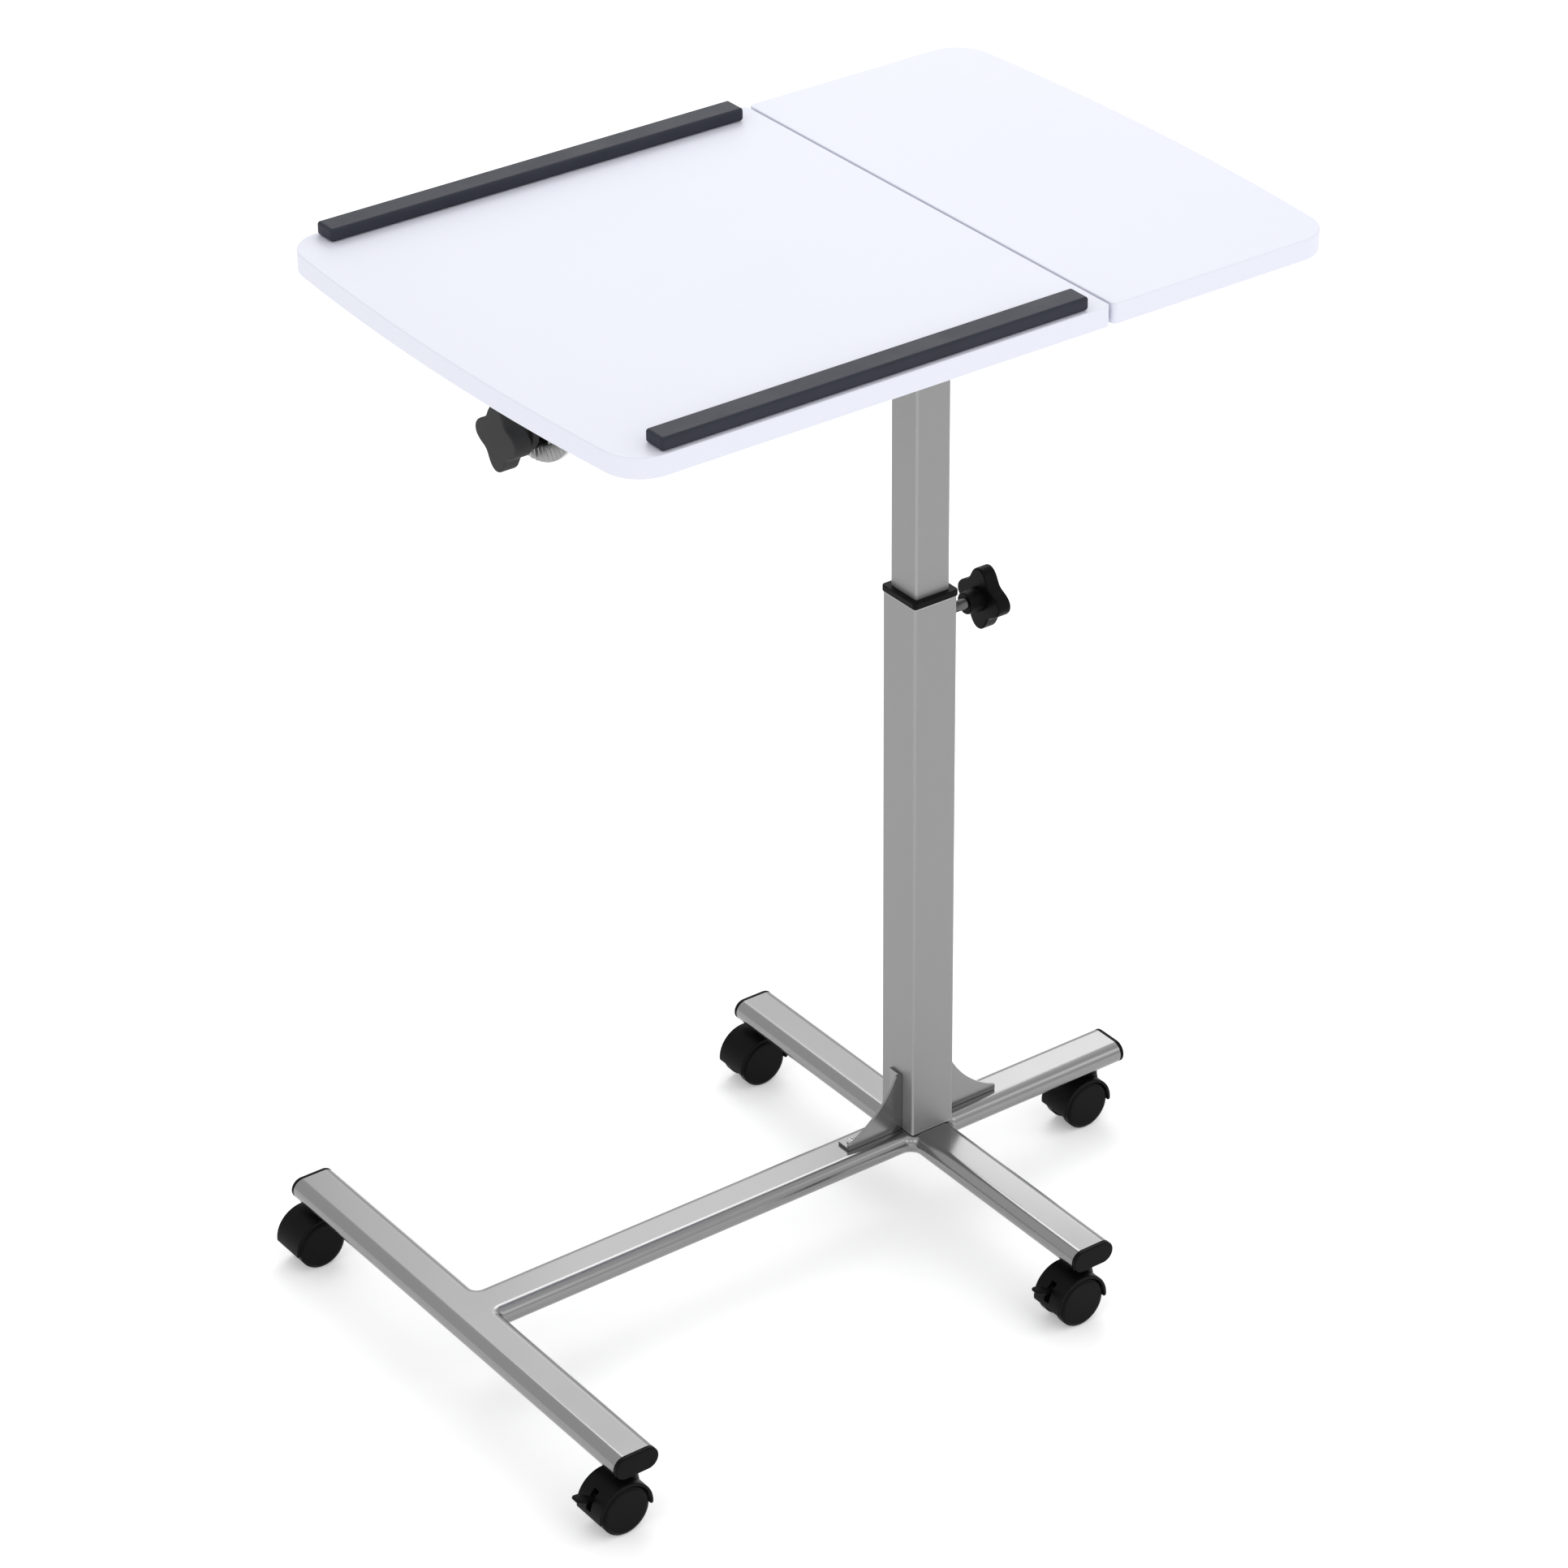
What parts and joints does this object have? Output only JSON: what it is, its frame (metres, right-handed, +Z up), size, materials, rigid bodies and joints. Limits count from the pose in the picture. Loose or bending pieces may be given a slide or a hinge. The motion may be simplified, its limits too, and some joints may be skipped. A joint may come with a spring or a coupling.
{
  "type": "overbed table",
  "caption": "Rolling overbed table with a T-and-cross tube base, a telescopic column, a fixed side board and a larger tilting board with book strips.",
  "frame": {"origin": "middle of the footprint on the floor", "axes": "+Z up, +X from the open end of the base towards the column, +Y across the base"},
  "size_m": [0.6327, 0.4104, 0.8045],
  "materials": {
    "satin_steel": "satin silver powder coat",
    "silver_paint": "satin silver grey powder coat",
    "bright_steel": "bright, radially serrated",
    "zinc_screw": "zinc plated",
    "dark_steel": "black oxide",
    "black_plastic": "fine grain",
    "knob_plastic": "fine grain",
    "slate_plastic": "satin",
    "white_laminate": "white laminate on board"
  },
  "bodies": {
    "base": {"main_beam": "satin_steel", "left_crossbar": "satin_steel", "front_crossbar": "satin_steel", "back_crossbar": "satin_steel", "left_front_end_cap": "black_plastic", "left_back_end_cap": "black_plastic", "cross_front_end_cap": "black_plastic", "cross_back_end_cap": "black_plastic", "beam_end_cap": "black_plastic", "left_gusset": "satin_steel", "right_gusset": "satin_steel", "left_gusset_screw": "zinc_screw", "right_gusset_screw": "zinc_screw", "outer_column": "silver_paint", "column_collar": "black_plastic", "stud_nut": "zinc_screw", "caster_left_front_stem": "dark_steel", "caster_left_back_stem": "dark_steel", "caster_cross_front_stem": "dark_steel", "caster_cross_back_stem": "dark_steel", "caster_beam_end_stem": "dark_steel"},
    "column_stud": {"column_knob_stud": "zinc_screw"},
    "column_knob": {"column_knob": "black_plastic"},
    "lift": {"inner_column": "silver_paint", "column_guide": "black_plastic", "pivot_tube": "satin_steel", "pivot_tube_cap": "black_plastic", "clamp_link": "satin_steel", "clamp_bolt": "zinc_screw", "small_board": "white_laminate", "fixed_cradle": "satin_steel", "fixed_cradle_screw_1": "zinc_screw", "fixed_cradle_screw_2": "zinc_screw"},
    "tilting_top": {"large_board": "white_laminate", "tilt_cradle": "satin_steel", "tilt_cradle_screw_1": "zinc_screw", "tilt_cradle_screw_2": "zinc_screw", "tilt_quadrant": "bright_steel", "front_book_strip": "slate_plastic", "back_book_strip": "slate_plastic"},
    "clamp_bush": {"clamp_bush": "knob_plastic"},
    "tilt_knob": {"tilt_knob": "knob_plastic"},
    "caster_left_front": {"caster_left_front_body": "black_plastic"},
    "caster_left_front_wheel_front": {"caster_left_front_wheel_front": "black_plastic"},
    "caster_left_front_wheel_back": {"caster_left_front_wheel_back": "black_plastic"},
    "caster_left_front_brake": {"caster_left_front_brake_lever": "black_plastic"},
    "caster_left_back": {"caster_left_back_body": "black_plastic"},
    "caster_left_back_wheel_front": {"caster_left_back_wheel_front": "black_plastic"},
    "caster_left_back_wheel_back": {"caster_left_back_wheel_back": "black_plastic"},
    "caster_cross_front": {"caster_cross_front_body": "black_plastic"},
    "caster_cross_front_wheel_front": {"caster_cross_front_wheel_front": "black_plastic"},
    "caster_cross_front_wheel_back": {"caster_cross_front_wheel_back": "black_plastic"},
    "caster_cross_front_brake": {"caster_cross_front_brake_lever": "black_plastic"},
    "caster_cross_back": {"caster_cross_back_body": "black_plastic"},
    "caster_cross_back_wheel_front": {"caster_cross_back_wheel_front": "black_plastic"},
    "caster_cross_back_wheel_back": {"caster_cross_back_wheel_back": "black_plastic"},
    "caster_beam_end": {"caster_beam_end_body": "black_plastic"},
    "caster_beam_end_wheel_front": {"caster_beam_end_wheel_front": "black_plastic"},
    "caster_beam_end_wheel_back": {"caster_beam_end_wheel_back": "black_plastic"}
  },
  "joints": [
    {"name": "column_height", "type": "slide", "parent": "base", "child": "lift", "axis": [0, 0, 1], "range_m": [-0.2, 0.13]},
    {"name": "top_tilt", "type": "hinge", "parent": "lift", "child": "tilting_top", "pos_m": [0.11735, 0, 0.7574], "axis": [1, 0, 0], "range_deg": [-60, 60]},
    {"name": "column_stud_travel", "type": "slide", "parent": "base", "child": "column_stud", "axis": [1, 0, 0], "range_m": [0, 0.0025]},
    {"name": "column_knob_turn", "type": "hinge", "parent": "column_stud", "child": "column_knob", "pos_m": [0.16835, 0, 0.4764], "axis": [1, 0, 0], "range_deg": [0, 720]},
    {"name": "clamp_bush_travel", "type": "slide", "parent": "lift", "child": "clamp_bush", "axis": [-1, 0, 0], "range_m": [0, 0.00125]},
    {"name": "tilt_knob_turn", "type": "hinge", "parent": "clamp_bush", "child": "tilt_knob", "pos_m": [-0.21325, 0, 0.722], "axis": [-1, 0, 0], "range_deg": [0, 360]},
    {"name": "caster_left_front_swivel", "type": "hinge", "parent": "base", "child": "caster_left_front", "pos_m": [-0.27375, -0.191, 0.0436], "axis": [0, 0, 1], "continuous": true},
    {"name": "caster_left_front_wheel_front_roll", "type": "hinge", "parent": "caster_left_front", "child": "caster_left_front_wheel_front", "pos_m": [-0.28335, -0.2011, 0.0188], "axis": [0, 1, 0], "continuous": true},
    {"name": "caster_left_front_wheel_back_roll", "type": "hinge", "parent": "caster_left_front", "child": "caster_left_front_wheel_back", "pos_m": [-0.28335, -0.1809, 0.0188], "axis": [0, 1, 0], "continuous": true},
    {"name": "caster_left_front_brake_press", "type": "hinge", "parent": "caster_left_front", "child": "caster_left_front_brake", "pos_m": [-0.29785, -0.191, 0.0278], "axis": [0, 1, 0], "range_deg": [-16, 0]},
    {"name": "caster_left_back_swivel", "type": "hinge", "parent": "base", "child": "caster_left_back", "pos_m": [-0.27375, 0.191, 0.0436], "axis": [0, 0, 1], "continuous": true},
    {"name": "caster_left_back_wheel_front_roll", "type": "hinge", "parent": "caster_left_back", "child": "caster_left_back_wheel_front", "pos_m": [-0.28335, 0.1809, 0.0188], "axis": [0, 1, 0], "continuous": true},
    {"name": "caster_left_back_wheel_back_roll", "type": "hinge", "parent": "caster_left_back", "child": "caster_left_back_wheel_back", "pos_m": [-0.28335, 0.2011, 0.0188], "axis": [0, 1, 0], "continuous": true},
    {"name": "caster_cross_front_swivel", "type": "hinge", "parent": "base", "child": "caster_cross_front", "pos_m": [0.11735, -0.191, 0.0436], "axis": [0, 0, 1], "continuous": true},
    {"name": "caster_cross_front_wheel_front_roll", "type": "hinge", "parent": "caster_cross_front", "child": "caster_cross_front_wheel_front", "pos_m": [0.10775, -0.2011, 0.0188], "axis": [0, 1, 0], "continuous": true},
    {"name": "caster_cross_front_wheel_back_roll", "type": "hinge", "parent": "caster_cross_front", "child": "caster_cross_front_wheel_back", "pos_m": [0.10775, -0.1809, 0.0188], "axis": [0, 1, 0], "continuous": true},
    {"name": "caster_cross_front_brake_press", "type": "hinge", "parent": "caster_cross_front", "child": "caster_cross_front_brake", "pos_m": [0.09325, -0.191, 0.0278], "axis": [0, 1, 0], "range_deg": [-16, 0]},
    {"name": "caster_cross_back_swivel", "type": "hinge", "parent": "base", "child": "caster_cross_back", "pos_m": [0.11735, 0.191, 0.0436], "axis": [0, 0, 1], "continuous": true},
    {"name": "caster_cross_back_wheel_front_roll", "type": "hinge", "parent": "caster_cross_back", "child": "caster_cross_back_wheel_front", "pos_m": [0.10775, 0.1809, 0.0188], "axis": [0, 1, 0], "continuous": true},
    {"name": "caster_cross_back_wheel_back_roll", "type": "hinge", "parent": "caster_cross_back", "child": "caster_cross_back_wheel_back", "pos_m": [0.10775, 0.2011, 0.0188], "axis": [0, 1, 0], "continuous": true},
    {"name": "caster_beam_end_swivel", "type": "hinge", "parent": "base", "child": "caster_beam_end", "pos_m": [0.27655, 0, 0.0436], "axis": [0, 0, 1], "continuous": true},
    {"name": "caster_beam_end_wheel_front_roll", "type": "hinge", "parent": "caster_beam_end", "child": "caster_beam_end_wheel_front", "pos_m": [0.26695, -0.0101, 0.0188], "axis": [0, 1, 0], "continuous": true},
    {"name": "caster_beam_end_wheel_back_roll", "type": "hinge", "parent": "caster_beam_end", "child": "caster_beam_end_wheel_back", "pos_m": [0.26695, 0.0101, 0.0188], "axis": [0, 1, 0], "continuous": true}
  ],
  "couplings": [
    {"joint": "column_stud_travel", "follows": "column_knob_turn", "m_per_rad": 0.00019894},
    {"joint": "clamp_bush_travel", "follows": "tilt_knob_turn", "m_per_rad": 0.00019894}
  ]
}
